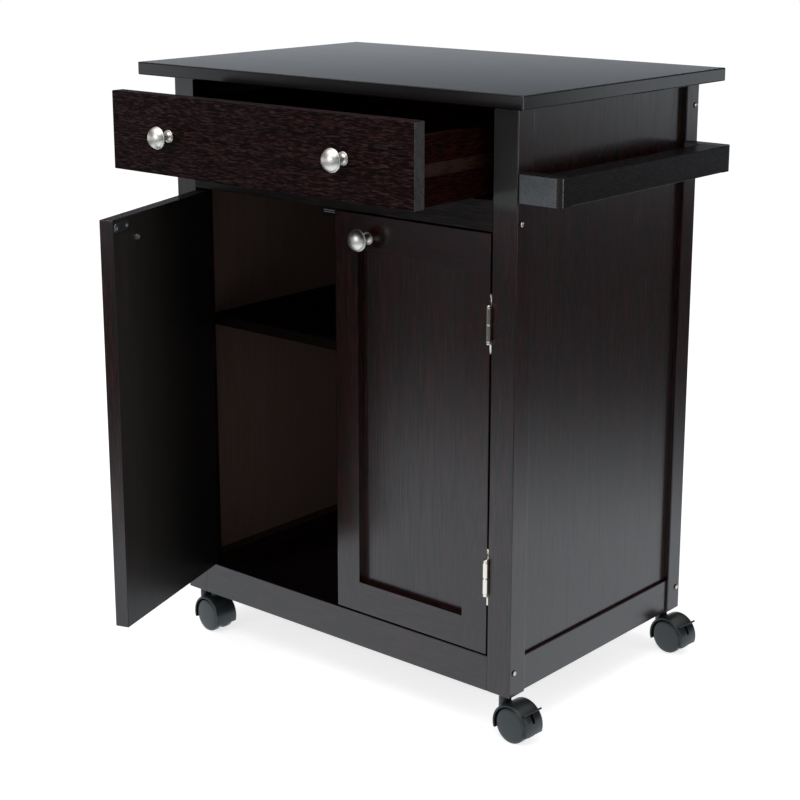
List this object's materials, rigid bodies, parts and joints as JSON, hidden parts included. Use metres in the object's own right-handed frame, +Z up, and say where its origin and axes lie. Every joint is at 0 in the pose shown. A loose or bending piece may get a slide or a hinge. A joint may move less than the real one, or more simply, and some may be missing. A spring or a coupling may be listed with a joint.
{
  "type": "microwave cart",
  "caption": "Rolling kitchen microwave cart with a worktop, a pull-out drawer over a two-door cupboard with a shelf, a side towel bar and swivel casters.",
  "frame": {"origin": "on the floor, below the middle of the cart's bounding box in the rest pose (drawer 150 mm out, left door 71.5 degrees open), to the nearest millimetre", "axes": "+Z up, -Y out of the front with the drawer and doors, +X to the side with the towel bar"},
  "size_m": [0.708, 0.6803, 0.858],
  "materials": {
    "top_wood": "satin dark espresso lacquer",
    "frame_wood": "satin dark espresso stain on solid wood",
    "panel_wood": "satin dark espresso stain on veneer",
    "drawer_wood": "thin dark red brown stain on solid wood",
    "towel_bar_wood": "satin dark espresso lacquer",
    "catch_plastic": "black moulded",
    "knob_nickel": "satin nickel plate",
    "hinge_nickel": "bright nickel plate",
    "strike_steel": "zinc plate",
    "bolt_steel": "dark nickel plate",
    "screw_steel": "zinc plate",
    "stem_steel": "zinc plate",
    "hood_plastic": "dark grey moulded nylon",
    "wheel_plastic": "dark grey moulded nylon",
    "lever_plastic": "dark grey moulded nylon"
  },
  "bodies": {
    "carcass": {"top_board": "top_wood", "front_left_post": "frame_wood", "front_right_post": "frame_wood", "rear_left_post": "frame_wood", "rear_right_post": "frame_wood", "left_side_panel": "panel_wood", "right_side_panel": "panel_wood", "left_bottom_rail": "frame_wood", "right_bottom_rail": "frame_wood", "front_bottom_rail": "frame_wood", "rear_bottom_rail": "frame_wood", "rear_top_rail": "frame_wood", "divider_rail": "frame_wood", "back_panel": "panel_wood", "bottom_panel": "panel_wood", "shelf": "panel_wood", "shelf_pins": "stem_steel", "drawer_runners": "drawer_wood", "top_cleats": "drawer_wood", "towel_bar": "towel_bar_wood", "towel_bar_arms": "towel_bar_wood", "frame_bolts": "bolt_steel", "magnetic_catches": "catch_plastic", "post_hinges": "hinge_nickel", "carcass_screws": "screw_steel", "caster_sockets": "stem_steel", "caster_stems": "stem_steel"},
    "drawer": {"drawer_front": "frame_wood", "drawer_left_side": "drawer_wood", "drawer_right_side": "drawer_wood", "drawer_back": "drawer_wood", "drawer_bottom": "drawer_wood", "drawer_knobs": "knob_nickel", "drawer_knob_screws": "screw_steel"},
    "left_door": {"left_door_frame": "frame_wood", "left_door_panel": "panel_wood", "left_door_knob": "knob_nickel", "left_door_strike_plate": "strike_steel", "left_door_hinges": "hinge_nickel", "left_door_screws": "screw_steel"},
    "right_door": {"right_door_frame": "frame_wood", "right_door_panel": "panel_wood", "right_door_knob": "knob_nickel", "right_door_strike_plate": "strike_steel", "right_door_hinges": "hinge_nickel", "right_door_screws": "screw_steel"},
    "front_left_caster": {"front_left_caster_hood": "hood_plastic"},
    "front_left_outer_wheel": {"front_left_outer_wheel": "wheel_plastic"},
    "front_left_inner_wheel": {"front_left_inner_wheel": "wheel_plastic"},
    "front_right_caster": {"front_right_caster_hood": "hood_plastic"},
    "front_right_outer_wheel": {"front_right_outer_wheel": "wheel_plastic"},
    "front_right_inner_wheel": {"front_right_inner_wheel": "wheel_plastic"},
    "rear_left_caster": {"rear_left_caster_hood": "hood_plastic"},
    "rear_left_outer_wheel": {"rear_left_outer_wheel": "wheel_plastic"},
    "rear_left_inner_wheel": {"rear_left_inner_wheel": "wheel_plastic"},
    "rear_right_caster": {"rear_right_caster_hood": "hood_plastic"},
    "rear_right_outer_wheel": {"rear_right_outer_wheel": "wheel_plastic"},
    "rear_right_inner_wheel": {"rear_right_inner_wheel": "wheel_plastic"},
    "front_right_brake_lever": {"front_right_brake_lever": "lever_plastic"},
    "rear_right_brake_lever": {"rear_right_brake_lever": "lever_plastic"}
  },
  "joints": [
    {"name": "drawer_slide", "type": "slide", "parent": "carcass", "child": "drawer", "axis": [0, -1, 0], "range_m": [-0.15, 0.13]},
    {"name": "left_door_hinge", "type": "hinge", "parent": "carcass", "child": "left_door", "pos_m": [-0.2808, -0.0899, 0.393], "axis": [0, 0, -1], "range_deg": [-71.5, 38.5]},
    {"name": "right_door_hinge", "type": "hinge", "parent": "carcass", "child": "right_door", "pos_m": [0.2528, -0.0899, 0.393], "axis": [0, 0, 1], "range_deg": [0, 110]},
    {"name": "front_left_swivel", "type": "hinge", "parent": "carcass", "child": "front_left_caster", "pos_m": [-0.301, -0.07, 0.05], "axis": [0, 0, 1], "continuous": true},
    {"name": "front_left_outer_wheel_spin", "type": "hinge", "parent": "front_left_caster", "child": "front_left_outer_wheel", "pos_m": [-0.27867, -0.07274, 0.025], "axis": [0.1219, 0.9925, 0], "continuous": true},
    {"name": "front_left_inner_wheel_spin", "type": "hinge", "parent": "front_left_caster", "child": "front_left_inner_wheel", "pos_m": [-0.27867, -0.07274, 0.025], "axis": [0.1219, 0.9925, 0], "continuous": true},
    {"name": "front_right_swivel", "type": "hinge", "parent": "carcass", "child": "front_right_caster", "pos_m": [0.273, -0.07, 0.05], "axis": [0, 0, 1], "continuous": true},
    {"name": "front_right_outer_wheel_spin", "type": "hinge", "parent": "front_right_caster", "child": "front_right_outer_wheel", "pos_m": [0.29545, -0.07157, 0.025], "axis": [0.0698, 0.9976, 0], "continuous": true},
    {"name": "front_right_inner_wheel_spin", "type": "hinge", "parent": "front_right_caster", "child": "front_right_inner_wheel", "pos_m": [0.29545, -0.07157, 0.025], "axis": [0.0698, 0.9976, 0], "continuous": true},
    {"name": "front_right_brake", "type": "hinge", "parent": "front_right_caster", "child": "front_right_brake_lever", "pos_m": [0.30805, -0.07245, 0.03637], "axis": [0.0698, 0.9976, 0], "range_deg": [0, 12]},
    {"name": "rear_left_swivel", "type": "hinge", "parent": "carcass", "child": "rear_left_caster", "pos_m": [-0.301, 0.313, 0.05], "axis": [0, 0, 1], "continuous": true},
    {"name": "rear_left_outer_wheel_spin", "type": "hinge", "parent": "rear_left_caster", "child": "rear_left_outer_wheel", "pos_m": [-0.27859, 0.31104, 0.025], "axis": [0.0872, 0.9962, 0], "continuous": true},
    {"name": "rear_left_inner_wheel_spin", "type": "hinge", "parent": "rear_left_caster", "child": "rear_left_inner_wheel", "pos_m": [-0.27859, 0.31104, 0.025], "axis": [0.0872, 0.9962, 0], "continuous": true},
    {"name": "rear_right_swivel", "type": "hinge", "parent": "carcass", "child": "rear_right_caster", "pos_m": [0.273, 0.313, 0.05], "axis": [0, 0, 1], "continuous": true},
    {"name": "rear_right_outer_wheel_spin", "type": "hinge", "parent": "rear_right_caster", "child": "rear_right_outer_wheel", "pos_m": [0.29538, 0.31065, 0.025], "axis": [0.1045, 0.9945, 0], "continuous": true},
    {"name": "rear_right_inner_wheel_spin", "type": "hinge", "parent": "rear_right_caster", "child": "rear_right_inner_wheel", "pos_m": [0.29538, 0.31065, 0.025], "axis": [0.1045, 0.9945, 0], "continuous": true},
    {"name": "rear_right_brake", "type": "hinge", "parent": "rear_right_caster", "child": "rear_right_brake_lever", "pos_m": [0.30794, 0.30933, 0.03637], "axis": [0.1045, 0.9945, 0], "range_deg": [0, 12]}
  ]
}
